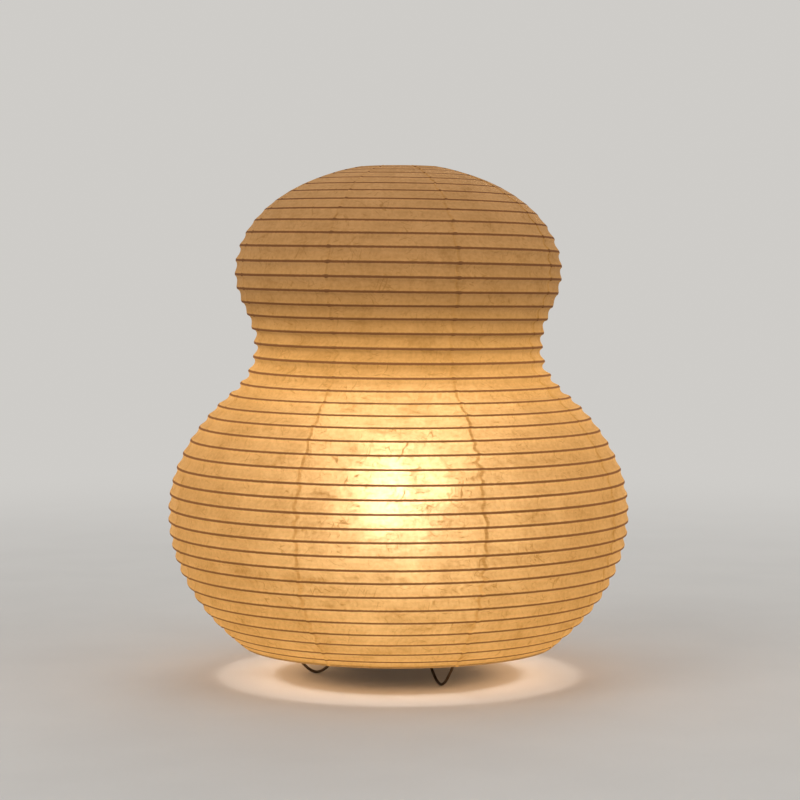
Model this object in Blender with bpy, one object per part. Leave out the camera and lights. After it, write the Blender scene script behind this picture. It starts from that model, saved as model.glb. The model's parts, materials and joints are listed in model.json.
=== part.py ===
"""Paper table lamp: a gourd-shaped paper shade on one spiral bamboo rib, over a wire stand with a bulb.

Metres, +Z up. The lamp stands on z = 0 about the Z axis, with its front towards -Y.
"""

import math
from bisect import bisect_right

import bmesh
import bpy
import numpy as np
from mathutils import Vector
from mathutils.geometry import interpolate_bezier

MM = 0.001
CLEAR = 0.3 * MM  # gap between pieces that touch
MERGE = 0.001 * MM

# Shade outline: two ellipses of revolution joined by a waist
RIM_HEIGHT = 24.9 * MM  # paper's bottom edge above the table
BODY_RADIUS = 190 * MM
BODY_DROP = 150 * MM  # half height of the body's ellipse below its widest line
BODY_RISE = 144.5 * MM  # and above it
HEAD_OVER_BODY = 197.5 * MM  # from the body's widest line up to the head's
HEAD_RADIUS = 134.7 * MM
HEAD_RISE = 88 * MM
TOP_RADIUS = 30 * MM  # opening at the top
BOTTOM_RADIUS = 127 * MM  # opening at the bottom
WAIST_ABOVE_BODY = 96.5 * MM  # where the waist leaves the body's ellipse
WAIST_BELOW_HEAD = 26 * MM  # where it meets the head's ellipse
OUTLINE_STEPS = 160  # points on each stretch of the outline

# Paper gores and the rib under them
PAPER = 0.4 * MM
GORES = 8
COLUMNS_PER_GORE = 3
FIRST_SEAM = math.radians(110.5)  # seam where the rib starts and ends
SEAM_GAP = 0.3 * MM
RIB_TURNS = 42
RIB = 1.4 * MM  # width and depth of the split bamboo strip
RIB_INSET = 5 * MM  # first and last turn from the paper's edges

# Wire hoops at the shade's ends
RING_WIRE = 2.4 * MM
RING_INSET = 2 * MM  # from the paper's edge
WIRE_SIDES = 6

# Legs, each one wire bent down into a foot
LEG_WIRE = 2.4 * MM
LEG_ANGLES = (180, 300, 60)  # degrees
LEG_INNER = 12 * MM  # radius where a leg ends under the plate
HOOP_PLAY = 10 * MM  # from a leg's outer end to the bottom hoop, which hangs free round it
FOOT_INSET = 59.5 * MM  # from the bottom hoop in to the middle of a foot
FOOT_SPREAD = 32.5 * MM  # half the length of the bend
FOOT_STEPS = 7  # points on each half of the bend

# Base plate, clamped on the legs by the hollow nipple
PLATE_RADIUS = 84 * MM
PLATE = 1.2 * MM
PLATE_LIP = 2.5 * MM
CLAMP_RADIUS = 26 * MM
CLAMP = 1.5 * MM
NIPPLE_RADIUS = 5 * MM
NIPPLE_BORE = 3.2 * MM
NIPPLE_TAIL = 1 * MM  # thread standing past each nut
WASHER_RADIUS = 9 * MM
WASHER = 1 * MM
NUT_FLATS = 14 * MM
NUT = 5 * MM
LOCKNUT = 3 * MM
BUSH_FLANGE = 1.5 * MM
BUSH_DEPTH = 6 * MM
BUSH_BORE = 2 * MM

# Stretcher: an upright hoop of wire that holds the shade's top hoop up
STRETCHER_WIRE = 3 * MM
FERRULE_INSET = 22 * MM  # from the plate's edge in to a foot of the stretcher
STRETCHER_BEND = 5 * MM
BEND_STEPS = 4
FERRULE_RADIUS = 3.6 * MM
FERRULE_HEIGHT = 22 * MM
FERRULE_FLANGE_RADIUS = 7 * MM
FERRULE_FLANGE = 1.5 * MM
SPIGOT_RADIUS = 2.8 * MM
SPIGOT_TAIL = 0.8 * MM  # riveted end below the plate

# Lamp holder
SPACER_LENGTH = 20.5 * MM
SPACER_RADIUS = 8 * MM
HOLDER_RADIUS = 19 * MM
HOLDER_WALL = 2.2 * MM
HOLDER_FLOOR = 2.5 * MM
HOLDER_BASE_HEIGHT = 16 * MM
HOLDER_NECK_RADIUS = 14 * MM
HOLDER_LEDGE = 2.3 * MM  # step that carries the insulator
LEDGE_HEIGHT = 8 * MM
INSULATOR_HEIGHT = 6 * MM
SHELL_HEIGHT = 30 * MM
SHELL_STEP_HEIGHT = 14 * MM  # where the shell steps in for the collar
SHELL_STEP = 1.2 * MM
COLLAR_RADIUS = 23 * MM
COLLAR_HEIGHT = 5 * MM
SOCKET_BORE = 13.9 * MM
SOCKET_WALL = 0.7 * MM
SOCKET_DEPTH = 28 * MM
CONTACT_RADIUS = 3.5 * MM
CONTACT_TOP_RADIUS = 2.5 * MM
CONTACT_HEIGHT = 2 * MM

# Bulb
TIP_RADIUS = 4.8 * MM
TIP_END_RADIUS = 2.9 * MM
TIP_HEIGHT = 1.5 * MM
BASE_INSULATOR_RADIUS = 9.5 * MM
BASE_INSULATOR_HEIGHT = 1.9 * MM
CAP_RADIUS = 13.1 * MM
CAP_WALL = 0.8 * MM
CAP_LENGTH = 24 * MM
CAP_HOLE = 3 * MM
THREAD_PITCH = 3.629 * MM
THREAD_DEPTH = 0.7 * MM
THREAD_TURNS = 5
GLOBE_RADIUS = 30 * MM
GLOBE_WALL = 1 * MM
GLOBE_NECK_RADIUS = 12.3 * MM
GLOBE_NECK_HEIGHT = 51 * MM  # cap to the middle of the globe
GLOBE_SHOULDER = math.radians(30)  # where the round meets the flare, below its middle
GLOBE_STEPS = 6

ROUND_STEPS = 16
NUT_STEPS = 24
PLATE_STEPS = 36
SHARP_CORNER = math.radians(35)  # a sharper corner isn't shaded smooth


def finish(name, colour, roughness, metallic=0.0):
    """A plain Principled material."""
    material = bpy.data.materials.new(name)
    material.use_nodes = True
    shader = material.node_tree.nodes["Principled BSDF"]
    shader.inputs["Base Color"].default_value = (*colour, 1)
    shader.inputs["Roughness"].default_value = roughness
    shader.inputs["Metallic"].default_value = metallic
    return material


def empty(name, parent=None):
    """A named empty on the lamp's axis, which carries the pieces of one moving group."""
    holder = bpy.data.objects.new(name, None)
    holder.parent = parent
    bpy.context.scene.collection.objects.link(holder)
    return holder


def piece(name, mesh, material, parent, place=(0, 0, 0), turn=0):
    """A named object of the model, shaded smooth except at its corners."""
    if not mesh.materials:
        mesh.materials.append(material)
        mesh.shade_smooth()
        mesh.set_sharp_from_angle(angle=SHARP_CORNER)
    obj = bpy.data.objects.new(name, mesh)
    obj.parent = parent
    obj.location = place
    obj.rotation_euler.z = turn
    bpy.context.scene.collection.objects.link(obj)
    return obj


def loft(name, sections, closed):
    """A mesh through outlines with equal counts of points, joined in a ring or capped at both ends."""
    bm = bmesh.new()
    rings = []
    for section in sections:
        rings.append([bm.verts.new(point) for point in section])
    pairs = list(zip(rings, rings[1:]))
    if closed:
        pairs.append((rings[-1], rings[0]))
    else:
        bm.faces.new(rings[0])
        bm.faces.new(rings[-1])
    for ring, following in pairs:
        for index in range(len(ring)):
            bm.faces.new((ring[index - 1], ring[index], following[index], following[index - 1]))
    bmesh.ops.remove_doubles(bm, verts=bm.verts, dist=MERGE)
    bmesh.ops.recalc_face_normals(bm, faces=bm.faces)
    mesh = bpy.data.meshes.new(name)
    bm.to_mesh(mesh)
    bm.free()
    return mesh


def around(radius, height, angle):
    """The point at a radius and height, turned by an angle about the axis."""
    return Vector((radius * math.cos(angle), radius * math.sin(angle), height))


def turned(name, outline, steps=ROUND_STEPS, start=0.0):
    """A solid of revolution from a closed outline of radius and height pairs."""
    sections = []
    for step in range(steps):
        angle = start + 2 * math.pi * step / steps
        sections.append([around(radius, height, angle) for radius, height in outline])
    return loft(name, sections, closed=True)


def tube(name, inner, outer, height, steps=ROUND_STEPS):
    """A plain sleeve standing on z = 0."""
    return turned(name, [(inner, 0), (outer, 0), (outer, height), (inner, height)], steps)


def hex_nut(name, flats, bore, height):
    """A six-sided nut with a round bore, standing on z = 0."""
    sections = []
    for step in range(NUT_STEPS):
        angle = 2 * math.pi * step / NUT_STEPS
        from_flat = (angle + math.pi / 6) % (math.pi / 3) - math.pi / 6
        outer = flats / 2 / math.cos(from_flat)
        corners = [(bore, 0), (outer, 0), (outer, height), (bore, height)]
        sections.append([around(radius, level, angle) for radius, level in corners])
    return loft(name, sections, closed=True)


def wire(name, path, across, diameter):
    """A round wire along a path in the plane square to across, mitred at its bends, with a flat side out."""
    runs = [(end - start).normalized() for start, end in zip(path, path[1:])]
    sections = []
    for index, point in enumerate(path):
        before = runs[max(index - 1, 0)]
        after = runs[min(index, len(runs) - 1)]
        along = (before + after).normalized()
        side = across.cross(along)
        reach = diameter / 2 / along.dot(before)
        section = []
        for corner in range(WIRE_SIDES):
            angle = 2 * math.pi * (corner + 0.5) / WIRE_SIDES
            section.append(point + side * reach * math.cos(angle) + across * diameter / 2 * math.sin(angle))
        sections.append(section)
    return loft(name, sections, closed=False)


def ellipse_slope(radius, rise, from_centre):
    """Change of radius with height on an ellipse of revolution, at a height from its centre."""
    return -radius / rise * from_centre / rise / math.sqrt(1 - (from_centre / rise) ** 2)


class Outline:
    """The paper's outer face in radius and height, measured along the paper from the top edge."""

    def __init__(self):
        self.body_centre = RIM_HEIGHT + BODY_DROP * math.sqrt(1 - (BOTTOM_RADIUS / BODY_RADIUS) ** 2)
        self.head_centre = self.body_centre + HEAD_OVER_BODY
        self.points = self.head() + self.waist()[1:-1] + self.body()
        self.distances = [0.0]
        for start, end in zip(self.points, self.points[1:]):
            self.distances.append(self.distances[-1] + (end - start).length)
        self.length = self.distances[-1]

    def head(self):
        first = math.asin(TOP_RADIUS / HEAD_RADIUS)
        last = math.acos(-WAIST_BELOW_HEAD / HEAD_RISE)
        points = []
        for angle in np.linspace(first, last, OUTLINE_STEPS):
            height = self.head_centre + HEAD_RISE * math.cos(angle)
            points.append(Vector((HEAD_RADIUS * math.sin(angle), height)))
        return points

    def body(self):
        first = math.asin(WAIST_ABOVE_BODY / BODY_RISE)
        last = -math.acos(BOTTOM_RADIUS / BODY_RADIUS)
        points = []
        for angle in np.linspace(first, last, 2 * OUTLINE_STEPS):
            half_height = BODY_RISE if angle > 0 else BODY_DROP
            height = self.body_centre + half_height * math.sin(angle)
            points.append(Vector((BODY_RADIUS * math.cos(angle), height)))
        return points

    def waist(self):
        """A cubic from the head's ellipse down to the body's, with the slope of each."""
        top = self.head()[-1]
        bottom = self.body()[0]
        third = (top.y - bottom.y) / 3
        top_slope = ellipse_slope(HEAD_RADIUS, HEAD_RISE, -WAIST_BELOW_HEAD)
        bottom_slope = ellipse_slope(BODY_RADIUS, BODY_RISE, WAIST_ABOVE_BODY)
        below_top = top - Vector((top_slope, 1)) * third
        above_bottom = bottom + Vector((bottom_slope, 1)) * third
        return interpolate_bezier(top, below_top, above_bottom, bottom, OUTLINE_STEPS)

    def at(self, distance, depth=0.0):
        """Radius and height at a distance along the paper, and at a depth below its outer face."""
        index = min(max(bisect_right(self.distances, distance), 1), len(self.points) - 1)
        start = self.points[index - 1]
        along = (self.points[index] - start).normalized()
        outward = Vector((-along.y, along.x))
        return start + along * (distance - self.distances[index - 1]) - outward * depth


OUTLINE = Outline()
COLUMNS = GORES * COLUMNS_PER_GORE  # corners in one turn, shared by paper, rib and hoops
RIB_PITCH = (OUTLINE.length - 2 * RIB_INSET) / RIB_TURNS
UNDER_PAPER = PAPER + CLEAR

TOP_RING = OUTLINE.at(RING_INSET, UNDER_PAPER + RING_WIRE / 2)
BOTTOM_RING = OUTLINE.at(OUTLINE.length - RING_INSET, UNDER_PAPER + RING_WIRE / 2)

LEG_HEIGHT = BOTTOM_RING.y
LEG_TIP = BOTTOM_RING.x - RING_WIRE / 2 - HOOP_PLAY
FOOT_RADIUS = BOTTOM_RING.x - FOOT_INSET
PLATE_HEIGHT = LEG_HEIGHT + LEG_WIRE / 2 + CLEAR
PLATE_TOP = PLATE_HEIGHT + PLATE
STRETCHER_SPREAD = PLATE_RADIUS - FERRULE_INSET  # half the distance between its feet
CLAMP_HEIGHT = LEG_HEIGHT - LEG_WIRE / 2 - CLEAR - CLAMP
WASHER_HEIGHT = CLAMP_HEIGHT - CLEAR - WASHER
NUT_HEIGHT = WASHER_HEIGHT - CLEAR - NUT
NIPPLE_HEIGHT = NUT_HEIGHT - NIPPLE_TAIL
BUSH_HEIGHT = NIPPLE_HEIGHT - CLEAR - BUSH_FLANGE
NIPPLE_CLEARANCE = NIPPLE_RADIUS + CLEAR

SPACER_HEIGHT = PLATE_TOP + CLEAR
HOLDER_HEIGHT = SPACER_HEIGHT + SPACER_LENGTH + CLEAR
LOCKNUT_HEIGHT = HOLDER_HEIGHT + HOLDER_FLOOR + CLEAR
NIPPLE_TOP = LOCKNUT_HEIGHT + LOCKNUT + NIPPLE_TAIL
INSULATOR_LEVEL = HOLDER_HEIGHT + LEDGE_HEIGHT + CLEAR
SOCKET_LEVEL = INSULATOR_LEVEL + INSULATOR_HEIGHT + CLEAR
SHELL_LEVEL = HOLDER_HEIGHT + HOLDER_BASE_HEIGHT + CLEAR
TIP_LEVEL = SOCKET_LEVEL + CONTACT_HEIGHT + CLEAR
BASE_INSULATOR_LEVEL = TIP_LEVEL + TIP_HEIGHT + CLEAR
CAP_LEVEL = BASE_INSULATOR_LEVEL + BASE_INSULATOR_HEIGHT + CLEAR
GLOBE_LEVEL = CAP_LEVEL + CAP_LENGTH + CLEAR


def rib_distance(turns):
    """Distance along the paper where the rib lies after a number of turns from its start."""
    return RIB_INSET + RIB_PITCH * turns


def paper_gore(index):
    """One gore of paper from edge to edge, with a crease over every pass of the rib."""
    bm = bmesh.new()
    columns = []
    for column in range(COLUMNS_PER_GORE + 1):
        turns = (index * COLUMNS_PER_GORE + column) / COLUMNS
        rows = [0.0] + [rib_distance(turn + turns) for turn in range(RIB_TURNS)] + [OUTLINE.length]
        inward = {0: 1, COLUMNS_PER_GORE: -1}.get(column, 0)
        verts = []
        for distance in rows:
            radius, height = OUTLINE.at(distance)
            angle = FIRST_SEAM + 2 * math.pi * turns + inward * SEAM_GAP / 2 / radius
            verts.append(bm.verts.new(around(radius, height, angle)))
        columns.append(verts)
    for left, right in zip(columns, columns[1:]):
        for row in range(len(left) - 1):
            bm.faces.new((left[row], left[row + 1], right[row + 1], right[row]))
    mesh = bpy.data.meshes.new(f"shade_panel_{index + 1}")
    bm.to_mesh(mesh)
    bm.free()
    return mesh


def rib_section(turns):
    """Corners of the rib's section, flat against the paper, after a number of turns from its start."""
    angle = FIRST_SEAM + 2 * math.pi * turns
    corners = []
    for along, depth in ((-1, 0), (1, 0), (0, 1)):
        radius, height = OUTLINE.at(rib_distance(turns) + along * RIB / 2, UNDER_PAPER + depth * RIB)
        corners.append(around(radius, height, angle))
    return corners


def bamboo_rib():
    """The one spiral rib, with its least gap to itself printed."""
    sections = [rib_section(step / COLUMNS) for step in range(RIB_TURNS * COLUMNS + 1)]
    middles = np.array([sum(section, Vector()) / len(section) for section in sections])
    nearest = min(
        np.linalg.norm(middles[index + COLUMNS // 2:] - middles[index], axis=1).min()
        for index in range(len(middles) - COLUMNS // 2)
    )
    print(f"bamboo_rib: least gap to itself {(nearest - RIB) / MM:.2f} mm")
    return loft("bamboo_rib", sections, closed=False)


def hoop(name, middle):
    """A round wire hoop whose corners follow the paper's."""
    outline = []
    for corner in range(WIRE_SIDES):
        angle = 2 * math.pi * (corner + 0.5) / WIRE_SIDES
        outline.append(middle + Vector((math.cos(angle), math.sin(angle))) * RING_WIRE / 2)
    return turned(name, outline, COLUMNS, FIRST_SEAM)


def leg_wire():
    """A leg along +X: level from inside the bottom hoop to the middle, with a bend down to a flat foot."""
    lowest = LEG_WIRE / 2 * math.cos(math.pi / WIRE_SIDES)
    shares = [(2 * step + 1) / (2 * FOOT_STEPS) for step in range(FOOT_STEPS)]
    bend = shares[::-1] + [-share for share in shares]
    deepest = 1 + math.cos(math.pi * shares[0])
    path = [(LEG_TIP, LEG_HEIGHT), (FOOT_RADIUS + FOOT_SPREAD, LEG_HEIGHT)]
    for share in bend:
        drop = (LEG_HEIGHT - lowest) * (1 + math.cos(math.pi * share)) / deepest
        path.append((FOOT_RADIUS + FOOT_SPREAD * share, LEG_HEIGHT - drop))
    path += [(FOOT_RADIUS - FOOT_SPREAD, LEG_HEIGHT), (LEG_INNER, LEG_HEIGHT)]
    return wire("leg_wire", [Vector((x, 0, z)) for x, z in path], Vector((0, 1, 0)), LEG_WIRE)


def base_plate(material, parent):
    """A disc with a lip turned down, bored for the nipple and for the ferrules' spigots."""
    rim = PLATE_RADIUS - PLATE
    outline = [(NIPPLE_CLEARANCE, 0), (rim, 0), (rim, -PLATE_LIP), (PLATE_RADIUS, -PLATE_LIP)]
    outline += [(PLATE_RADIUS, PLATE), (NIPPLE_CLEARANCE, PLATE)]
    disc = turned("base_plate", outline, PLATE_STEPS, start=math.pi / PLATE_STEPS)
    plate = piece("base_plate", disc, material, parent, (0, 0, PLATE_HEIGHT))
    hole = SPIGOT_RADIUS + CLEAR
    drill = turned("spigot_hole", [(0, -PLATE), (hole, -PLATE), (hole, 2 * PLATE), (0, 2 * PLATE)])
    for side in (-1, 1):
        place = (side * STRETCHER_SPREAD, 0, PLATE_HEIGHT)
        cutter = piece(f"spigot_hole_{side}", drill, material, parent, place)
        cutter.hide_render = True
        cutter.display_type = "WIRE"
        cut = plate.modifiers.new("spigot_hole", "BOOLEAN")
        cut.object = cutter
        cut.operation = "DIFFERENCE"


def stretcher():
    """An upright hoop of wire: two legs that lean in to a level bar just under the top hoop."""
    foot = PLATE_TOP + CLEAR + FERRULE_FLANGE + CLEAR
    bar = TOP_RING.y - RING_WIRE / 2 - CLEAR - STRETCHER_WIRE / 2
    level = TOP_RING.x + RING_WIRE / 2
    half = [(STRETCHER_SPREAD, foot), (STRETCHER_SPREAD, foot + FERRULE_HEIGHT)]
    for step in range(BEND_STEPS + 1):
        angle = math.pi / 2 * step / BEND_STEPS
        half.append((level + STRETCHER_BEND * math.cos(angle), bar - STRETCHER_BEND * (1 - math.sin(angle))))
    path = half + [(-x, z) for x, z in reversed(half)]
    return wire("stretcher", [Vector((x, 0, z)) for x, z in path], Vector((0, 1, 0)), STRETCHER_WIRE)


def ferrule():
    """A flanged cup for one foot of the stretcher, with a spigot riveted through the plate."""
    bore = STRETCHER_WIRE / 2 + CLEAR
    top = FERRULE_FLANGE + FERRULE_HEIGHT
    spigot = -CLEAR - PLATE - SPIGOT_TAIL
    outline = [(0, spigot), (SPIGOT_RADIUS, spigot), (SPIGOT_RADIUS, 0), (FERRULE_FLANGE_RADIUS, 0)]
    outline += [(FERRULE_FLANGE_RADIUS, FERRULE_FLANGE), (FERRULE_RADIUS, FERRULE_FLANGE)]
    outline += [(FERRULE_RADIUS, top), (bore, top), (bore, FERRULE_FLANGE), (0, FERRULE_FLANGE)]
    return turned("ferrule", outline)


def cord_bush():
    """A flanged bush in the lower end of the nipple, where a lead would come in."""
    shank = NIPPLE_BORE - CLEAR
    top = BUSH_FLANGE + BUSH_DEPTH
    outline = [(BUSH_BORE, 0), (NIPPLE_RADIUS, 0), (NIPPLE_RADIUS, BUSH_FLANGE)]
    outline += [(shank, BUSH_FLANGE), (shank, top), (BUSH_BORE, top)]
    return turned("cord_bush", outline)


def holder_base():
    """The holder's lower cup, bored for the nipple, with a ledge inside for the insulator."""
    wall = HOLDER_RADIUS - HOLDER_WALL
    well = wall - HOLDER_LEDGE
    floor = NUT_FLATS / 2 / math.cos(math.pi / 6) + CLEAR
    outline = [(NIPPLE_CLEARANCE, 0), (HOLDER_NECK_RADIUS, 0), (HOLDER_RADIUS, LEDGE_HEIGHT)]
    outline += [(HOLDER_RADIUS, HOLDER_BASE_HEIGHT), (wall, HOLDER_BASE_HEIGHT), (wall, LEDGE_HEIGHT)]
    outline += [(well, LEDGE_HEIGHT), (floor, HOLDER_FLOOR), (NIPPLE_CLEARANCE, HOLDER_FLOOR)]
    return turned("holder_base", outline)


def holder_shell():
    """The holder's upper sleeve, stepped in at the top to seat the collar."""
    bore = HOLDER_RADIUS - HOLDER_WALL
    neck = HOLDER_RADIUS - SHELL_STEP
    outline = [(bore, 0), (HOLDER_RADIUS, 0), (HOLDER_RADIUS, SHELL_STEP_HEIGHT)]
    outline += [(neck, SHELL_STEP_HEIGHT), (neck, SHELL_HEIGHT), (bore, SHELL_HEIGHT)]
    return turned("holder_shell", outline)


def bulb_cap():
    """The bulb's metal cap, a cup with rounded thread ridges."""
    outline = [(CAP_HOLE, 0), (CAP_RADIUS - THREAD_DEPTH, 0)]
    for turn in range(THREAD_TURNS):
        root = (turn + 0.5) * THREAD_PITCH
        outline.append((CAP_RADIUS - THREAD_DEPTH, root))
        outline.append((CAP_RADIUS, root + THREAD_PITCH / 2))
    inner = CAP_RADIUS - THREAD_DEPTH - CAP_WALL
    outline += [(CAP_RADIUS, CAP_LENGTH), (inner, CAP_LENGTH), (inner, CAP_WALL), (CAP_HOLE, CAP_WALL)]
    return turned("bulb_cap", outline)


def globe_side(inset):
    """One face of the globe's glass from the neck to the crown."""
    radius = GLOBE_RADIUS - inset
    neck = Vector((GLOBE_NECK_RADIUS - inset, 0))
    middle = Vector((0, GLOBE_NECK_HEIGHT))
    shoulder = middle + Vector((math.cos(GLOBE_SHOULDER), -math.sin(GLOBE_SHOULDER))) * radius
    rise = shoulder.y / 2
    lean = Vector((math.sin(GLOBE_SHOULDER), math.cos(GLOBE_SHOULDER))) * rise
    flare = interpolate_bezier(neck, neck + Vector((0, rise)), shoulder - lean, shoulder, GLOBE_STEPS)
    side = [(point.x, point.y) for point in flare]
    for step in range(1, GLOBE_STEPS + 1):
        angle = -GLOBE_SHOULDER + (math.pi / 2 + GLOBE_SHOULDER) * step / GLOBE_STEPS
        side.append((max(radius * math.cos(angle), 0.0), GLOBE_NECK_HEIGHT + radius * math.sin(angle)))
    return side


def bulb_globe():
    """The bulb's glass, a thin shell open at the neck."""
    return turned("bulb_globe", globe_side(0) + globe_side(GLOBE_WALL)[::-1])


def build_shade(lamp):
    paper = finish("washi_paper", (0.86, 0.72, 0.47), 0.85)
    bamboo = finish("split_bamboo", (0.42, 0.25, 0.1), 0.6)
    steel = finish("ring_steel", (0.35, 0.33, 0.3), 0.4, 1.0)
    shade = empty("shade", lamp)
    hem = empty("shade_hem", shade)
    for index in range(GORES):
        gore = piece(f"shade_panel_{index + 1}", paper_gore(index), paper, shade)
        skin = gore.modifiers.new("paper", "SOLIDIFY")
        skin.thickness = PAPER
        skin.offset = -1
        skin.use_even_offset = True
    piece("bamboo_rib", bamboo_rib(), bamboo, shade)
    piece("top_ring", hoop("top_ring", TOP_RING), steel, shade)
    piece("bottom_ring", hoop("bottom_ring", BOTTOM_RING), steel, hem)


def build_stand(lamp):
    steel = finish("plated_wire", (0.3, 0.27, 0.23), 0.35, 1.0)
    painted = finish("painted_plate", (0.05, 0.045, 0.04), 0.5)
    zinc = finish("zinc_fasteners", (0.55, 0.55, 0.53), 0.4, 1.0)
    black_plastic = finish("bush_plastic", (0.03, 0.03, 0.03), 0.7)
    legs = leg_wire()
    for number, angle in enumerate(LEG_ANGLES, start=1):
        piece(f"leg_wire_{number}", legs, steel, lamp, turn=math.radians(angle))
    base_plate(painted, lamp)
    clamp = tube("leg_clamp", NIPPLE_CLEARANCE, CLAMP_RADIUS, CLAMP)
    piece("leg_clamp", clamp, zinc, lamp, (0, 0, CLAMP_HEIGHT))
    washer = tube("washer", NIPPLE_CLEARANCE, WASHER_RADIUS, WASHER)
    piece("washer", washer, zinc, lamp, (0, 0, WASHER_HEIGHT))
    nut = hex_nut("hub_nut", NUT_FLATS, NIPPLE_CLEARANCE, NUT)
    piece("hub_nut", nut, zinc, lamp, (0, 0, NUT_HEIGHT))
    nipple = tube("nipple", NIPPLE_BORE, NIPPLE_RADIUS, NIPPLE_TOP - NIPPLE_HEIGHT)
    piece("nipple", nipple, zinc, lamp, (0, 0, NIPPLE_HEIGHT))
    piece("cord_bush", cord_bush(), black_plastic, lamp, (0, 0, BUSH_HEIGHT))
    piece("stretcher", stretcher(), steel, lamp)
    cup = ferrule()
    for number, side in enumerate((-1, 1), start=1):
        piece(f"ferrule_{number}", cup, zinc, lamp, (side * STRETCHER_SPREAD, 0, PLATE_TOP + CLEAR))


def build_holder(lamp):
    plastic = finish("holder_plastic", (0.04, 0.035, 0.03), 0.45)
    porcelain = finish("porcelain", (0.8, 0.78, 0.74), 0.3)
    brass = finish("brass", (0.7, 0.5, 0.22), 0.35, 1.0)
    zinc = finish("holder_zinc", (0.55, 0.55, 0.53), 0.4, 1.0)
    spacer = tube("holder_spacer", NIPPLE_CLEARANCE, SPACER_RADIUS, SPACER_LENGTH)
    piece("holder_spacer", spacer, brass, lamp, (0, 0, SPACER_HEIGHT))
    piece("holder_base", holder_base(), plastic, lamp, (0, 0, HOLDER_HEIGHT))
    locknut = hex_nut("holder_locknut", NUT_FLATS, NIPPLE_CLEARANCE, LOCKNUT)
    piece("holder_locknut", locknut, zinc, lamp, (0, 0, LOCKNUT_HEIGHT))
    disc = HOLDER_RADIUS - HOLDER_WALL - CLEAR
    slab = [(0, 0), (disc, 0), (disc, INSULATOR_HEIGHT), (0, INSULATOR_HEIGHT)]
    piece("holder_insulator", turned("holder_insulator", slab), porcelain, lamp, (0, 0, INSULATOR_LEVEL))
    piece("holder_shell", holder_shell(), plastic, lamp, (0, 0, SHELL_LEVEL))
    collar = tube("holder_collar", HOLDER_RADIUS - SHELL_STEP + CLEAR, COLLAR_RADIUS, COLLAR_HEIGHT)
    piece("holder_collar", collar, plastic, lamp, (0, 0, SHELL_LEVEL + SHELL_STEP_HEIGHT + CLEAR))
    socket = tube("holder_socket", SOCKET_BORE, SOCKET_BORE + SOCKET_WALL, SOCKET_DEPTH)
    piece("holder_socket", socket, brass, lamp, (0, 0, SOCKET_LEVEL))
    button = [(0, 0), (CONTACT_RADIUS, 0), (CONTACT_TOP_RADIUS, CONTACT_HEIGHT), (0, CONTACT_HEIGHT)]
    piece("holder_contact", turned("holder_contact", button), brass, lamp, (0, 0, SOCKET_LEVEL))


def build_bulb(lamp):
    solder = finish("solder", (0.6, 0.6, 0.58), 0.35, 1.0)
    black_glass = finish("base_glass", (0.02, 0.02, 0.02), 0.2)
    nickel = finish("cap_metal", (0.72, 0.7, 0.66), 0.3, 1.0)
    opal = finish("opal_glass", (0.95, 0.9, 0.8), 0.3)
    rise = empty("bulb_rise", lamp)
    bulb = empty("bulb", rise)
    tip = [(0, 0), (TIP_END_RADIUS, 0), (TIP_RADIUS, TIP_HEIGHT), (0, TIP_HEIGHT)]
    piece("bulb_contact", turned("bulb_contact", tip), solder, rise, (0, 0, TIP_LEVEL))
    top = BASE_INSULATOR_HEIGHT
    cone = turned("bulb_insulator", [(0, 0), (TIP_RADIUS, 0), (BASE_INSULATOR_RADIUS, top), (0, top)])
    piece("bulb_insulator", cone, black_glass, bulb, (0, 0, BASE_INSULATOR_LEVEL))
    piece("bulb_cap", bulb_cap(), nickel, bulb, (0, 0, CAP_LEVEL))
    piece("bulb_globe", bulb_globe(), opal, bulb, (0, 0, GLOBE_LEVEL))


def main():
    for obj in list(bpy.data.objects):
        bpy.data.objects.remove(obj)
    lamp = empty("lamp")
    build_shade(lamp)
    build_stand(lamp)
    build_holder(lamp)
    build_bulb(lamp)


main()
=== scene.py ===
"""Looks of the paper table lamp: fine meshes, node materials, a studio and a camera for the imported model.

Metres, +Z up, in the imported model's own frame. The lamp stands on z = 0 and its front faces -Y.
"""

import json
import math

import bmesh
import bpy
import numpy as np
from mathutils import Matrix, Vector
from mathutils.geometry import interpolate_bezier

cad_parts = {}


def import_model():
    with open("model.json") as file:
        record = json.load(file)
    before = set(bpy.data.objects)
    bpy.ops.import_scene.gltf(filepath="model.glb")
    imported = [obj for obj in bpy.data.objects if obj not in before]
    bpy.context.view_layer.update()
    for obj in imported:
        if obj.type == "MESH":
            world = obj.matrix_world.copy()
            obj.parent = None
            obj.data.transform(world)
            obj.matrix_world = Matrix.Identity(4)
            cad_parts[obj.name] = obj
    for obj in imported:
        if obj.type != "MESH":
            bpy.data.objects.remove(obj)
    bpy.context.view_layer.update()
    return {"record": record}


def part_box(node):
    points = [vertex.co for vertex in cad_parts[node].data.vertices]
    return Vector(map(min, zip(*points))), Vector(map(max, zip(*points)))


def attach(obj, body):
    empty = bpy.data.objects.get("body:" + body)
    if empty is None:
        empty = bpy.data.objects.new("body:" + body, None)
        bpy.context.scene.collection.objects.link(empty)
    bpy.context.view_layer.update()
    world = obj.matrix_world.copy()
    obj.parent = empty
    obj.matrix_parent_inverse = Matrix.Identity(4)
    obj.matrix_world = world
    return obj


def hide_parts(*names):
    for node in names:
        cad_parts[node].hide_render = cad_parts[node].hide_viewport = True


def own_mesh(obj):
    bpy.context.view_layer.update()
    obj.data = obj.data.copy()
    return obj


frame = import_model()

MM = 0.001
TURN = 2 * math.pi
MERGE = 0.001 * MM  # points nearer than this become one
CLEAR = 0.3 * MM  # gap between neighbouring pieces

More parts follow.
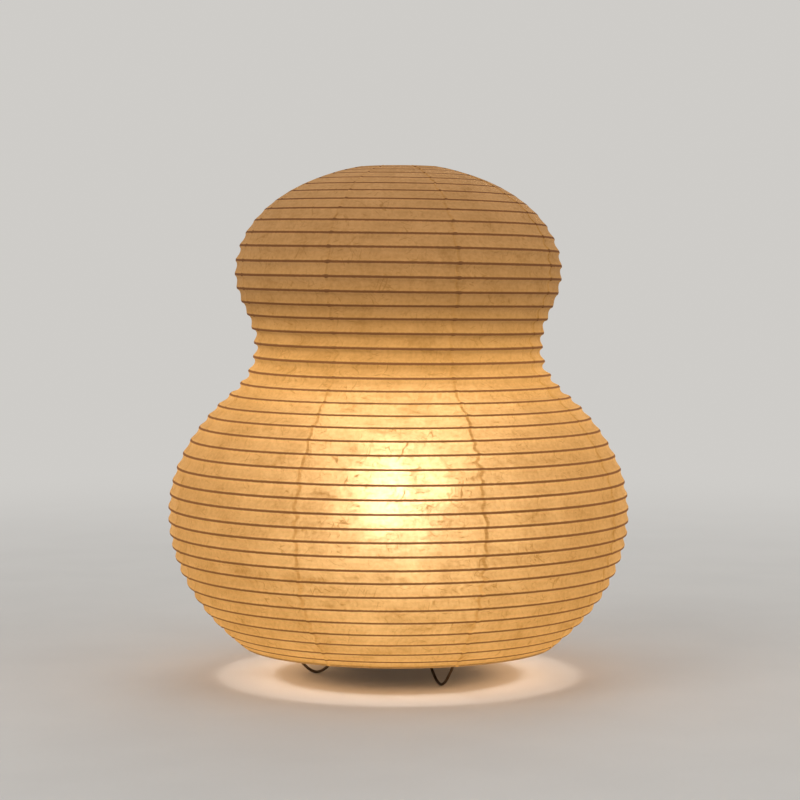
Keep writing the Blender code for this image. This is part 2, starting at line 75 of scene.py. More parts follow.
# Shade outline: two ellipses of revolution joined by a waist
RIM_HEIGHT = 24.9 * MM
BODY_RADIUS = 190 * MM
BODY_DROP = 150 * MM
BODY_RISE = 144.5 * MM
HEAD_OVER_BODY = 197.5 * MM
HEAD_RADIUS = 134.7 * MM
HEAD_RISE = 88 * MM
TOP_RADIUS = 30 * MM
BOTTOM_RADIUS = 127 * MM
WAIST_ABOVE_BODY = 96.5 * MM
WAIST_BELOW_HEAD = 26 * MM
OUTLINE_STEPS = 160
DRAWN_IN = ((2.0 * MM, 215 * MM, 45 * MM),)  # how far the paper is drawn in, at what height, in what reach

# Paper gores
PAPER = 0.4 * MM
GORES = 8
GORE_COLUMNS = 36
FIRST_SEAM = math.radians(110.5)
SAG_PLACES = (  # how deep the paper sags between passes of the rib, at which height, within what reach
    (2.6 * MM, 100 * MM, 85 * MM),
    (0.5 * MM, 215 * MM, 35 * MM),
    (3.2 * MM, 268 * MM, 35 * MM),
    (1.7 * MM, 342 * MM, 35 * MM),
)
SAG_UPPER = 0.75  # powers that put the deepest line above the middle of a band
SAG_LOWER = 1.25
SAG_STEPS = 7
WIDEST_BAND = 1.1  # in pitches of the rib, past which a band sags no deeper
PUCKERS = ((0.1, 5.3, 0), (0.08, 11.7, 1), (0.06, 23.1, 2))  # share of the sag, waves in a turn, phase
RIDGE = 0.8 * MM  # half the width of the paper that lies on the rib
LAP = 1.3 * MM  # half the width of a pasted seam at the body's widest line
THINNEST_LAP = 0.5 * MM
WIDEST_LAP = math.radians(1.2)
LAP_LIFT = PAPER + 0.1 * MM
SEAM_WANDER = 1.1 * MM
SEAM_KNOTS = 126  # bends of a seam's line from top to bottom
SEAM_SEED = 11
THICK_CROSSINGS = ((0.45 * MM, 335 * MM, 70 * MM),)  # how much wider the rib shows at a seam, and where

# Rib
RIB_TURNS = 42
RIB = 1.4 * MM
RIB_DEPTH = 1.1 * MM
RIB_SECTION = ((-0.5, 0), (0.5, 0), (0.46, 0.5), (0.2, 1), (-0.2, 1), (-0.46, 0.5))  # in widths and depths
RIB_INSET = 5 * MM
RIB_STEPS = 96  # sections in one turn
UNEVEN_PASSES = (  # how far passes lie from their even places, where along the paper, within what reach
    (-3.0 * MM, 20 * MM, 60 * MM),
    (0.7 * MM, 138 * MM, 30 * MM),
    (1.3 * MM, 268 * MM, 20 * MM),
    (4.7 * MM, 326 * MM, 50 * MM),
    (-1.6 * MM, 412 * MM, 22 * MM),
    (2.0 * MM, 486 * MM, 24 * MM),
)
RIB_LEAN = 0.0085  # how much more the passes lean to one side for each metre along the paper
LEVEL_PASS = 130 * MM  # where along the paper they don't lean
SETTLED_TURNS = 1.5  # turns at each end in which the rib is drawn even
RIB_WOBBLE = ((0.2 * MM, 0.37, 0), (0.12 * MM, 3.2, 1))  # size, waves in a turn, phase
PASTE = 0.05 * MM

# Hoops and the paper hems that wrap them
RING_WIRE = 2.4 * MM
RING_INSET = 2 * MM
HEM = 4 * MM  # width of a hem on the outside
HEM_INSIDE = 2.5 * MM
HEM_PAPER = 0.3 * MM
HEM_WAVER = ((0.12 * MM, 23, 0), (0.12 * MM, 9, 1), (0.084 * MM, 61, 0))  # size, waves in a turn, phase
HEM_FOLD = [math.radians(angle) for angle in range(0, 181, 15)]
FAR_FROM_SEAM = 8  # in half widths of a seam
PAPER_END = 1.7 * MM  # where the gores stop inside a hem, from the edge
HOOP_STEPS = 192

# Glow of the paper: the bulb's light and the bands' shade, painted into the paper's emission
BULB_MIDDLE = np.array((0.0, 0.0, 147.7)) * MM
AMBIENT_GLOW = 0.17  # light that reaches the paper after bouncing inside, as a share of the direct light
SLOPELESS_GLOW = 0.42  # share of the direct light that the paper takes in whatever its slope
BAND_SHADE = 0.7  # how much the slope of each band turns the light that falls on it
BAND_BEND = 0.15  # how much the slope of each band bends the light that passes through it
# painted glow of the bulb's light on the hems
HEM_GLOW = 0.5

# Stand
LEG_WIRE = 2.4 * MM
LEG_ANGLES = (180, 300, 60)
LEG_INNER = 12 * MM
HOOP_PLAY = 10 * MM
FOOT_INSET = 59.5 * MM
FOOT_SPREAD = 32.5 * MM
FOOT_STEPS = 60
PLATE_RADIUS = 84 * MM
PLATE = 1.2 * MM
CLAMP_RADIUS = 26 * MM
NIPPLE_RADIUS = 5 * MM
NIPPLE_HOLE = NIPPLE_RADIUS + CLEAR
NIPPLE_BORE = 3.2 * MM
NIPPLE_PITCH = 1 * MM
NIPPLE_THREAD = 0.5 * MM
WASHER_RADIUS = 9 * MM
NUT_FLATS = 14 * MM
NUT_FACE = 0.97 * NUT_FLATS / 2  # radius of its end faces
NUT_CHAMFER = math.radians(30)
BUSH_FLANGE = 1.5 * MM
BUSH_BORE = 2 * MM
STRETCHER_WIRE = 3 * MM
STRETCHER_BEND = 6 * MM
FERRULE_INSET = 22 * MM
FERRULE_RADIUS = 3.6 * MM
FERRULE_HEIGHT = 22 * MM
FERRULE_FLANGE_RADIUS = 7 * MM
FERRULE_FLANGE = 1.5 * MM
SPIGOT_RADIUS = 2.8 * MM

# Lamp holder
SPACER_RADIUS = 8 * MM
SPACER_GROOVE = 0.6 * MM
GROOVE_PLACES = (0.2, 0.8)  # shares of the spacer's height
HOLDER_RADIUS = 19 * MM
HOLDER_WALL = 2.2 * MM
HOLDER_FLOOR = 2.5 * MM
HOLDER_NECK_RADIUS = 14 * MM
HOLDER_LEDGE = 2.3 * MM
LEDGE_HEIGHT = 8 * MM
SHELL_STEP_HEIGHT = 14 * MM
SHELL_STEP = 1.2 * MM
SHELL_PITCH = 2.5 * MM
SHELL_THREAD = 0.7 * MM
COLLAR_RADIUS = 23 * MM
COLLAR_FLUTES = 32
COLLAR_FLUTE = 0.7 * MM
FLUTE_STEPS = 12
SOCKET_BORE = 13.9 * MM
SOCKET_WALL = 0.7 * MM
CONTACT_RADIUS = 3.5 * MM
CONTACT_TOP_RADIUS = 2.5 * MM

# Bulb
TIP_RADIUS = 4.8 * MM
TIP_END_RADIUS = 2.9 * MM
BASE_INSULATOR_RADIUS = 9.5 * MM
CAP_RADIUS = 13.1 * MM
CAP_WALL = 0.8 * MM
CAP_HOLE = 3 * MM
CAP_PLAIN = 5 * MM  # unthreaded skirt under the glass
THREAD_PITCH = 3.629 * MM
THREAD_DEPTH = 0.7 * MM
GLOBE_RADIUS = 30 * MM
GLOBE_WALL = 1 * MM
GLOBE_NECK_RADIUS = 12.3 * MM
GLOBE_NECK_HEIGHT = 51 * MM
GLOBE_SHOULDER = math.radians(30)
GLOBE_STEPS = 24

# Fineness of the meshes
ROUND_STEPS = 96
NUT_STEPS = 72
SMALL_STEPS = 64
NIPPLE_STEPS = 48
WIRE_SIDES = 16
WIRE_ANGLES = [TURN * side / WIRE_SIDES for side in range(WIRE_SIDES)]
WIRE_CORNERS = [(math.cos(angle), math.sin(angle)) for angle in WIRE_ANGLES]
CAP_ANGLES = [math.radians(angle) for angle in (20, 45, 70, 90)]  # of the rounding at a wire's end
BEND_STEPS = 10
BEND_PULL = 0.6  # handles of a bend's curve, as a share of the way to the corner
THREAD_ROWS = 8  # rows of a thread in one pitch
EDGE = 0.25 * MM  # rounding of turned edges
SHARP_CORNER = math.radians(50)

# Looks of the paper
PAPER_TAN = (0.27, 0.178, 0.13)
THICK_TAN = (0.15, 0.090, 0.055)
# painted glow of the bulb's light, for the thinnest and the thickest paper
PAPER_GLOW_AMBER = (0.50, 0.243, 0.045)
THICK_GLOW_AMBER = (0.40, 0.175, 0.028)
# the rib's line: a painted shadow in the glow, and in the base colour the rib's brown darkened further by
# painted shade
RIB_SHADOW = (0.17, 0.066, 0.018)
RIB_BROWN_AND_SHADE = (0.075, 0.040, 0.026)
# painted glow of the bulb's light on the inner face
INNER_GLOW_AMBER = (1.0, 0.62, 0.27)
THIN_CLEAR = (1.0, 0.92, 0.70)
THICK_CLEAR = (0.18, 0.15, 0.10)  # light let through where the paper is thickest
HAZE_AMBER = (0.90, 0.88, 0.68)
HAZE_SHARE = 0.57  # share of the light that is spread wide inside the paper
HAZE_ROUGHNESS = 0.7
HAZE_INDEX = 0.5
PAPER_CLEARNESS = 0.35
PAPER_ROUGHNESS = 0.85
INNER_ROUGHNESS = 0.8
PAPER_SPECULAR = 0.2
PAPER_INDEX = 1.18
PAPER_RELIEF = 0.25 * MM
OUTER_RELIEF = 0.1  # shares of that relief on the two faces
INNER_RELIEF = 0.2
THICKNESSES = (0.7, 1.15)  # of the texture, where the paper is thickest and thinnest
CLEAR_THICKNESSES = (0.8, 1.1)  # of the texture, where the least and the most light passes
RIB_BEAD = 0.12 * MM  # unevenness of the rib's line
RIB_EDGE = (0.6 * MM, 1.3 * MM)  # distances from the rib's middle between which its line of brown and painted shadow fades
RIB_GLEAM = (1.2 * MM, 3.4 * MM, 1.13, 1.0)  # the same for the painted brighter glow beside it, and its strengths

# Texture of the paper: ranges of a noise, and with four numbers, the light let through at both ends
MOST_NOISE = (0.3, 0.7)  # used by the other finishes too
WIDE_NOISE = (0.2, 0.8)
CLOUDS = (0.25, 0.75, 0.94, 1.05)
GRAIN = (  # features in a metre, detail, how they twist, stretch across and along a gore, spread
    (70, 3, 0.6, (1, 2.5, 1), 0.03),
    (330, 4, 0.4, (1, 1, 1), 0.08),
    (420, 2, 0.0, (1, 7, 1), 0.02),
    (420, 2, 0.0, (7, 1, 1), 0.03),
)
SMUDGES = (0.54, 0.72, 1.0, 0.88)
SHORT_FIBRES = (  # features in a metre, stretch, turn in degrees, rarity, with specks in the last row
    (600, 8, 15, 0.66),
    (600, 8, -35, 0.67),
    (700, 7, 70, 0.66),
    (650, 7, -75, 0.66),
    (900, 1, 0, 0.70),
)
SHORT_FADE = 0.08
LONG_FIBRES = ((75, 25), (95, -50))  # features in a metre, turn in degrees
LONG_FADE = (0.003, 0.009)  # from the middle of a noise, along which a long fibre runs
LONG_PATCHES = (0.52, 0.60)
CROWDS = (0.40, 0.62, 0.25, 1.0)  # where fibres lie close, and the shares of them that show
FIBRE_LIGHT = (1.0, 0.82)
SEAM_FRAY = 0.4  # in half widths of a seam
SEAM_EDGE = (0.7, 1.1)  # half widths of a seam between which it fades
SEAM_LIGHT = (0.88, 1.0)

# Glass of the bulb
OPAL_COLOURS = ((0.76, 0.72, 0.65), (0.82, 0.79, 0.72))
OPAL_ROUGHNESS = 0.25
BULB_WHITE = (1.0, 0.92, 0.85)
BULB_STRENGTH = 26.0
SEEN_BULB = (1.0, 0.86, 0.62)
SEEN_STRENGTH = 0.6  # of the lit glass as it is looked at, so that its form still shows
UNLIT_NECK = 42 * MM  # below the globe's middle
LIT_GLASS = 16 * MM
NECK_SHARE = 0.15  # of the light that the globe gives

# Other finishes
MOTTLED = (  # name, dark and light colour, roughness, metallic, features in a metre, other relief, stretch
    ("split_bamboo", (0.20, 0.105, 0.04), (0.40, 0.24, 0.10), (0.5, 0.7), 0, 900, 0.06 * MM, (3, 3, 1)),
    ("ring_steel", (0.30, 0.28, 0.25), (0.42, 0.40, 0.37), (0.3, 0.5), 1, 200),
    ("plated_wire", (0.075, 0.055, 0.038), (0.15, 0.11, 0.075), (0.28, 0.45), 1, 220),
    ("painted_plate", (0.022, 0.020, 0.018), (0.040, 0.036, 0.032), (0.42, 0.58), 0, 160, 0.05 * MM),
    ("zinc", (0.46, 0.46, 0.45), (0.62, 0.62, 0.60), (0.3, 0.5), 1, 260),
    ("bush_plastic", (0.02, 0.02, 0.02), (0.035, 0.035, 0.033), (0.55, 0.75), 0, 300),
    ("holder_plastic", (0.026, 0.022, 0.019), (0.048, 0.040, 0.033), (0.3, 0.45), 0, 150),
    ("porcelain", (0.76, 0.74, 0.70), (0.83, 0.81, 0.77), (0.18, 0.3), 0, 90),
    ("brass", (0.58, 0.39, 0.15), (0.76, 0.56, 0.26), (0.25, 0.42), 1, 180),
    ("solder", (0.5, 0.5, 0.49), (0.68, 0.68, 0.66), (0.3, 0.45), 1, 400, 0.1 * MM),
    ("base_glass", (0.012, 0.012, 0.013), (0.024, 0.024, 0.025), (0.1, 0.2), 0, 200),
    ("cap_metal", (0.60, 0.58, 0.54), (0.76, 0.74, 0.70), (0.22, 0.38), 1, 200),
    ("opal_inside", (0.86, 0.83, 0.77), (0.92, 0.9, 0.85), (0.4, 0.5), 0, 80),
)
MOTTLE_RELIEF = 0.02 * MM  # where no other is given
FINER = 9  # times as many features in the fine part of a mottled finish
FINE_SHARE = 0.5  # of the broad part's relief

# Camera and studio
CAMERA_PLACE = (1.3 * MM, -1945 * MM, 332.6 * MM)
CAMERA_DOWN = math.radians(3.087)
CAMERA_LENS = 105.97  # this and the sensor's width are in millimetres
CAMERA_SENSOR = 36
FLOOR_SIZE = 8.0
FLOOR_COLOUR = (0.62, 0.60, 0.57)
FLOOR_ROUGHNESS = 0.8
FLOOR_MOTTLE = (0.985, 1.015)
FLOOR_FADE = (0.55, 2.0)  # distances between which the floor passes into the backdrop
BACKDROP_COLOUR = (0.62, 0.605, 0.58)
AMBIENT = (0.6, 0.6, 0.6)
SOFTBOXES = (  # name, place, power in watts
    ("key", (-2.6, -2.8, 3.6), 45),
    ("fill", (3.2, -2.0, 2.6), 20),
    ("back", (0.8, 3.4, 3.4), 25),
)
SOFTBOX_SIZE = 2.4
SOFTBOX_AIM = (0, 0, 0.2)

SLOTS = {part["node"]: part["material_slot"] for part in frame["record"]["subparts"]}
BODIES = {node: body for body, nodes in frame["record"]["behaviour"]["bodies"].items() for node in nodes}


# Material building

class Nodes:
    """Short ways to add nodes to a tree."""

    def __init__(self, tree):
        self.tree = tree

    def node(self, kind, inputs=None, **settings):
        """A new node with its settings by name, and its inputs by name or number."""
        node = self.tree.nodes.new(kind)
        for name, value in settings.items():
            setattr(node, name, value)
        for key, value in (inputs or {}).items():
            self.put(node.inputs[key], value)
        return node

    def put(self, socket, value):
        """Links a socket to another, or sets a plain number or colour on it."""
        if isinstance(value, bpy.types.NodeSocket):
            self.tree.links.new(value, socket)
        elif isinstance(value, tuple) and socket.type == "RGBA":
            socket.default_value = (*value, 1)
        else:
            socket.default_value = value

    def math(self, operation, first, second=0.0):
        return self.node("ShaderNodeMath", {0: first, 1: second}, operation=operation).outputs["Value"]

    def mixed(self, factor, first, second):
        """A mix of two shaders."""
        return self.node("ShaderNodeMixShader", {"Fac": factor, 1: first, 2: second}).outputs["Shader"]

    def looked_at(self):
        """1 for a ray that shows something to the camera, by way of metal and glass too."""
        path = self.node("ShaderNodeLightPath")
        seen = path.outputs["Is Camera Ray"]
        for ray in ("Is Glossy Ray", "Is Transmission Ray"):
            seen = self.math("MAXIMUM", seen, path.outputs[ray])
        return seen

    def show(self, shader, output="Material Output"):
        self.put(self.tree.nodes[output].inputs["Surface"], shader)


class Finish(Nodes):
    """A Principled material with short ways to add nodes in front of its shader."""

    def __init__(self, name, roughness=0.5, metallic=0.0):
        self.material = bpy.data.materials.new(name)
        self.material.use_nodes = True
        super().__init__(self.material.node_tree)
        self.shader = self.tree.nodes["Principled BSDF"]
        self.place = self.node("ShaderNodeTexCoord").outputs["Object"]
        self.feed("Roughness", roughness)
        self.feed("Metallic", metallic)

    def feed(self, name, value):
        self.put(self.shader.inputs[name], value)

    def noise(self, scale, detail=2.0, roughness=0.5, distortion=0.0, stretch=(1, 1, 1), turn=0):
        """Noise from 0 to 1 with a number of features in a metre, drawn out along axes turned by degrees."""
        layout = {"Vector": self.place, "Scale": stretch, "Rotation": (0, 0, math.radians(turn))}
        mapping = self.node("ShaderNodeMapping", layout, vector_type="TEXTURE")
        pattern = {"Vector": mapping.outputs["Vector"], "Scale": scale, "Detail": detail}
        pattern |= {"Roughness": roughness, "Distortion": distortion}
        return self.node("ShaderNodeTexNoise", pattern).outputs["Fac"]

    def attribute(self, name, kind="Fac"):
        return self.node("ShaderNodeAttribute", attribute_name=name).outputs[kind]

    def remap(self, value, low, high, to_low=0.0, to_high=1.0):
        """A smooth step from one range to another."""
        ranges = {"Value": value, "From Min": low, "From Max": high, "To Min": to_low, "To Max": to_high}
        return self.node("ShaderNodeMapRange", ranges, interpolation_type="SMOOTHSTEP").outputs["Result"]

    def between(self, factor, first, second):
        """A mix of two colours."""
        inputs = {"Factor": factor, 6: first, 7: second}
        return self.node("ShaderNodeMix", inputs, data_type="RGBA").outputs[2]

    def tinted(self, colour, tint):
        node = self.node("ShaderNodeVectorMath", {0: colour, 1: tint}, operation="MULTIPLY")
        return node.outputs["Vector"]

    def scaled(self, colour, factor):
        node = self.node("ShaderNodeVectorMath", {"Vector": colour, "Scale": factor}, operation="SCALE")
        return node.outputs["Vector"]

    def bump(self, height, distance, strength=1.0, normal=None):
        inputs = {"Height": height, "Distance": distance, "Strength": strength}
        if normal:
            inputs["Normal"] = normal
        self.feed("Normal", self.node("ShaderNodeBump", inputs).outputs["Normal"])


def washi_fibres(finish):
    """Fibres in the paper from 0 to 1: short ones and specks, long ones, and more of them in places."""
    fibres = 0.0
    for scale, stretch, turn, rarity in SHORT_FIBRES:
        dash = finish.noise(scale, detail=1, distortion=0.6, stretch=(1, stretch, 1), turn=turn)
        fibres = finish.math("MAXIMUM", fibres, finish.remap(dash, rarity, rarity + SHORT_FADE))
    for scale, turn in LONG_FIBRES:
        line = finish.noise(scale, detail=1.5, distortion=0.5, stretch=(1, 4, 1), turn=turn)
        away = finish.math("ABSOLUTE", finish.math("SUBTRACT", line, 0.5))
        patch = finish.remap(finish.noise(scale / 2), *LONG_PATCHES)
        thread = finish.math("MULTIPLY", finish.remap(away, *LONG_FADE, 1.0, 0.0), patch)
        fibres = finish.math("MAXIMUM", fibres, thread)
    crowded = finish.remap(finish.noise(42, detail=3), *CROWDS)
    return finish.math("MULTIPLY", fibres, crowded)


def washi_texture(finish):
    """Light let through by the paper, about 1: clouds, grain, smudges, fibres and pasted seams."""
    finish.place = finish.attribute("sheet", "Vector")
    texture = finish.remap(finish.noise(30, detail=4, roughness=0.6), *CLOUDS)
    for scale, detail, twist, stretch, spread in GRAIN:
        noise = finish.noise(scale, detail, roughness=0.6, distortion=twist, stretch=stretch)
        texture = finish.math("MULTIPLY", texture, finish.remap(noise, *WIDE_NOISE, 1 - spread, 1 + spread))
    smudge = finish.noise(55, detail=5, roughness=0.7, distortion=0.6, stretch=(2, 1, 1))
    fibres = finish.remap(washi_fibres(finish), 0.0, 1.0, *FIBRE_LIGHT)
    fray = finish.remap(finish.noise(240), *WIDE_NOISE, -SEAM_FRAY, SEAM_FRAY)
    off_seam = finish.remap(finish.math("ADD", finish.attribute("seam"), fray), *SEAM_EDGE)
    worn = finish.remap(finish.noise(40, detail=3), *MOST_NOISE, *SEAM_LIGHT)
    for layer in (finish.remap(smudge, *SMUDGES), fibres, finish.math("MAXIMUM", off_seam, worn)):
        texture = finish.math("MULTIPLY", texture, layer)
    return texture


def facing_out(finish):
    """The paper's own outward direction, turned about where a face is met from behind."""
    from_behind = finish.node("ShaderNodeNewGeometry").outputs["Backfacing"]
    side = finish.math("SUBTRACT", 1.0, finish.math("MULTIPLY", from_behind, 2.0))
    return finish.scaled(finish.attribute("outward", "Vector"), side)


def washi():
    """Outer face of the paper: matt tan with a painted amber glow from inside, and the rib's brown and
    painted shadow over the rib.
    """
    finish = Finish("washi_paper", PAPER_ROUGHNESS)
    texture = washi_texture(finish)
    beads = finish.remap(finish.noise(350), *WIDE_NOISE, -RIB_BEAD, RIB_BEAD)
    from_rib = finish.math("ADD", finish.attribute("rib"), beads)
    off_rib = finish.remap(from_rib, *RIB_EDGE)
    # painted light: the glow is brighter just beside the rib
    glow = finish.math("MULTIPLY", finish.remap(from_rib, *RIB_GLEAM), finish.attribute("glow"))
    thin = finish.remap(texture, *THICKNESSES)
    tan = finish.between(thin, THICK_TAN, PAPER_TAN)
    amber = finish.between(thin, THICK_GLOW_AMBER, PAPER_GLOW_AMBER)
    # over the rib the base colour turns to the rib's brown and painted shade; the emission is the bulb's
    # painted glow with the rib's painted shadow
    finish.feed("Base Color", finish.between(off_rib, RIB_BROWN_AND_SHADE, tan))
    finish.feed("Emission Color", finish.scaled(finish.between(off_rib, RIB_SHADOW, amber), glow))
    finish.feed("Emission Strength", 1.0)
    finish.feed("Transmission Weight", PAPER_CLEARNESS)
    finish.feed("Specular IOR Level", PAPER_SPECULAR)
    finish.feed("IOR", PAPER_INDEX)
    finish.bump(texture, PAPER_RELIEF, OUTER_RELIEF, facing_out(finish))
    finish.material.cycles.emission_sampling = "NONE"
    return finish.material


def washi_inside():
    """Inner face of the paper, which the bulb's light passes on its way to the outer face."""
    finish = Finish("washi_inside", INNER_ROUGHNESS)
    texture = washi_texture(finish)
    finish.feed("Base Color", finish.scaled(PAPER_TAN, texture))
    # painted glow: the bulb's light on the inner face, as emission
    finish.feed("Emission Color", finish.scaled(INNER_GLOW_AMBER, texture))
    finish.feed("Emission Strength", 1.0)
    finish.bump(texture, PAPER_RELIEF, INNER_RELIEF)
    clear = finish.between(finish.remap(texture, *CLEAR_THICKNESSES), THICK_CLEAR, THIN_CLEAR)
    straight = finish.node("ShaderNodeBsdfTransparent", {"Color": clear})
    spread = {"Color": finish.tinted(clear, HAZE_AMBER), "Roughness": HAZE_ROUGHNESS, "IOR": HAZE_INDEX}
    spread["Normal"] = finish.scaled(facing_out(finish), -1.0)
    haze = finish.node("ShaderNodeBsdfRefraction", spread)
    through = finish.mixed(HAZE_SHARE, straight.outputs["BSDF"], haze.outputs["BSDF"])
    path = finish.node("ShaderNodeLightPath")
    passing = finish.math("MAXIMUM", path.outputs["Is Shadow Ray"], path.outputs["Is Transmission Ray"])
    finish.show(finish.mixed(passing, finish.shader.outputs["BSDF"], through))
    finish.material.cycles.emission_sampling = "NONE"
    return finish.material


def opal_glass():
    """Opal glass of the bulb, lit from the globe's middle and dim at the neck."""
    finish = Finish("opal_glass", OPAL_ROUGHNESS)
    finish.feed("Base Color", finish.between(finish.noise(60), *OPAL_COLOURS))
    place = finish.node("ShaderNodeSeparateXYZ", {"Vector": finish.place})
    middle = float(BULB_MIDDLE[2])
    lit = finish.remap(place.outputs["Z"], middle - UNLIT_NECK, middle - LIT_GLASS, NECK_SHARE, 1.0)
    seen = finish.node("ShaderNodeLightPath").outputs["Is Camera Ray"]
    strength = finish.remap(seen, 0.0, 1.0, BULB_STRENGTH, SEEN_STRENGTH)
    finish.feed("Emission Color", finish.between(seen, BULB_WHITE, SEEN_BULB))
    finish.feed("Emission Strength", finish.math("MULTIPLY", lit, strength))
    return finish.material


def mottled(name, dark, light, rough, metallic, scale, relief=MOTTLE_RELIEF, stretch=(1, 1, 1)):
    """A finish whose colour, gloss and surface all vary a little."""
    finish = Finish(name, metallic=metallic)
    broad = finish.noise(scale, detail=4, roughness=0.6, stretch=stretch)
    fine = finish.noise(scale * FINER, detail=3, roughness=0.6, stretch=stretch)
    finish.feed("Base Color", finish.between(finish.remap(broad, *MOST_NOISE), dark, light))
    finish.feed("Roughness", finish.remap(fine, *MOST_NOISE, *rough))
    finish.bump(finish.math("ADD", broad, finish.math("MULTIPLY", fine, FINE_SHARE)), relief)
    return finish.material


FINISHES = {look[0]: mottled(*look) for look in MOTTLED}
FINISHES.update(washi_paper=washi(), washi_inside=washi_inside(), opal_glass=opal_glass())


# Mesh building

def put_in_scene(name, data):
    obj = bpy.data.objects.new(name, data)
    bpy.context.scene.collection.objects.link(obj)
    return obj


def add_piece(name, mesh, body):
    mesh.shade_smooth()
    mesh.set_sharp_from_angle(angle=SHARP_CORNER)
    obj = put_in_scene(name, mesh)
    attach(obj, body)
    return obj


def dress(node, mesh, name=None):
    """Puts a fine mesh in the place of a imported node, on the node's body and in its material slot."""
    mesh.materials.append(FINISHES[SLOTS[node]])
    obj = add_piece(name or f"{node}_fine", mesh, BODIES[node])
    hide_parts(node)
    return obj


def soften(obj, width=EDGE):
    """Rounds the sharp edges of a turned piece."""
    bevel = obj.modifiers.new("soft_edges", "BEVEL")
    bevel.width = width
    bevel.segments = 2
    bevel.limit_method = "ANGLE"
    bevel.angle_limit = SHARP_CORNER
    bevel.use_clamp_overlap = True


def loft(name, sections, closed):
    """A mesh through outlines with equal counts of points, joined in a ring or capped at both ends."""
    bm = bmesh.new()
    rings = []
    for section in sections:
        rings.append([bm.verts.new(point) for point in section])
    pairs = list(zip(rings, rings[1:]))
    if closed:
        pairs.append((rings[-1], rings[0]))
    else:
        bm.faces.new(rings[0])
        bm.faces.new(rings[-1])
    for ring, following in pairs:
        for index in range(len(ring)):
            bm.faces.new((ring[index - 1], ring[index], following[index], following[index - 1]))
    bmesh.ops.remove_doubles(bm, verts=bm.verts, dist=MERGE)
    bmesh.ops.recalc_face_normals(bm, faces=bm.faces)
    mesh = bpy.data.meshes.new(name)
    bm.to_mesh(mesh)
    bm.free()
    return mesh


def around(radius, height, angle):
    return Vector((radius * math.cos(angle), radius * math.sin(angle), height))


def turned(name, outline, steps=ROUND_STEPS):
    """A solid turned from radius and height pairs, or from a function that gives them at each angle."""
    sections = []
    for step in range(steps):
        angle = TURN * step / steps
        pairs = outline(angle) if callable(outline) else outline
        sections.append([around(radius, height, angle) for radius, height in pairs])
    return loft(name, sections, closed=True)


def turn_piece(node, outline, steps=ROUND_STEPS):
    """A turned piece in the place of a node."""
    return dress(node, turned(node, outline, steps))


def wire(name, path, diameter):
    """A round wire with rounded ends along a path of points in the plane of X and Z."""
    across = Vector((0, 1, 0))
    radius = diameter / 2
    points = [Vector((x, 0, z)) for x, z in path]
    runs = [(end - start).normalized() for start, end in zip(points, points[1:])]
    cap = [(radius * (1 - math.cos(angle)), radius * math.sin(angle)) for angle in CAP_ANGLES]
    spots = [(points[0] + runs[0] * inset, runs[0], reach) for inset, reach in cap]
    for before, point, after in zip(runs, points[1:], runs[1:]):
        spots.append((point, (before + after).normalized(), radius))
    spots += [(points[-1] - runs[-1] * inset, runs[-1], reach) for inset, reach in reversed(cap)]
    sections = []
    for point, along, reach in spots:
        side = across.cross(along)
        sections.append([point + (side * x + across * y) * reach for x, y in WIRE_CORNERS])
    return loft(name, sections, closed=False)


def rounded(path, radius):
    """A path with a curve at each of its corners."""
    points = [Vector(point) for point in path]
    smooth = [points[0]]
    for before, corner, after in zip(points, points[1:], points[2:]):
        inward = (corner - before).normalized()
        outward = (after - corner).normalized()
        reach = radius * math.tan(inward.angle(outward) / 2)
        start = corner - inward * reach
        end = corner + outward * reach
        pull = BEND_PULL * reach
        smooth += interpolate_bezier(start, start + inward * pull, end - outward * pull, end, BEND_STEPS)
    return smooth + [points[-1]]


def threaded(bottom, top, root, depth, pitch, before=(), after=()):
    """An outline with a right-handed screw thread between plain stretches, as a function of the angle."""
    heights = np.linspace(bottom, top, round((top - bottom) / pitch * THREAD_ROWS) + 1)
    fade = np.clip(np.minimum(heights - bottom, top - heights) / (pitch / 2), 0, 1)

    def outline(angle):
        crest = 0.5 + 0.5 * np.cos(TURN * heights / pitch - angle)
        return [*before, *zip(root + depth * crest * fade, heights), *after]

    return outline


def mark(mesh, **values):
    """Gives every point of a mesh named numbers or vectors that the paper's material reads."""
    count = len(mesh.vertices)
    for name, numbers in values.items():
        if np.ndim(numbers) == 2:
            layer = mesh.attributes.new(name, "FLOAT_VECTOR", "POINT")
            layer.data.foreach_set("vector", np.asarray(numbers, dtype=np.float32).ravel())
        else:
            layer = mesh.attributes.new(name, "FLOAT", "POINT")
            layer.data.foreach_set("value", np.broadcast_to(numbers, count).astype(np.float32))


# Shade

def swells(place, bumps):
    """The sum of smooth bumps, each with its size, middle and reach."""
    return sum(size * np.exp(-((place - middle) / reach) ** 2) for size, middle, reach in bumps)


def waves(angle, parts):
    """The sum of sine waves, each with its size, count in a turn and phase."""
    return sum(size * np.sin(count * angle + phase) for size, count, phase in parts)


def ellipse_slope(radius, rise, from_centre):
    return -radius / rise * from_centre / rise / math.sqrt(1 - (from_centre / rise) ** 2)


